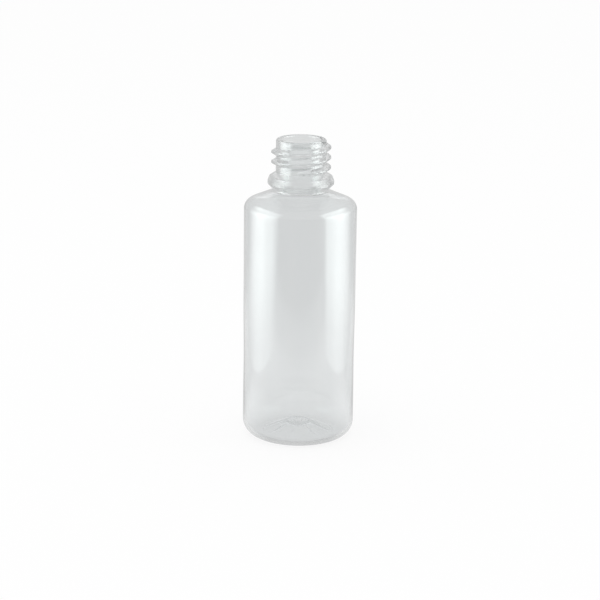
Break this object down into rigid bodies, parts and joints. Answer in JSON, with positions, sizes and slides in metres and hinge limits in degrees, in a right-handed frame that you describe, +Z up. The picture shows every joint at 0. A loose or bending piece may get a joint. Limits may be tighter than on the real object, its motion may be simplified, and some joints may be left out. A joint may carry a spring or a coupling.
{
  "type": "plastic bottle",
  "caption": "Clear round plastic bottle with a sloped shoulder and a screw neck with a locking bead, for filling and capping.",
  "frame": {"origin": "centre of the footprint, on the surface that the bottle stands on", "axes": "+Z up along the bottle's axis, out of the mouth; -Y to the picture's camera, +X to its right"},
  "size_m": [0.034, 0.034, 0.092],
  "materials": {
    "clear_plastic": "clear, glossy, colourless PET"
  },
  "bodies": {
    "root": {"bottle": "clear_plastic"}
  },
  "joints": []
}
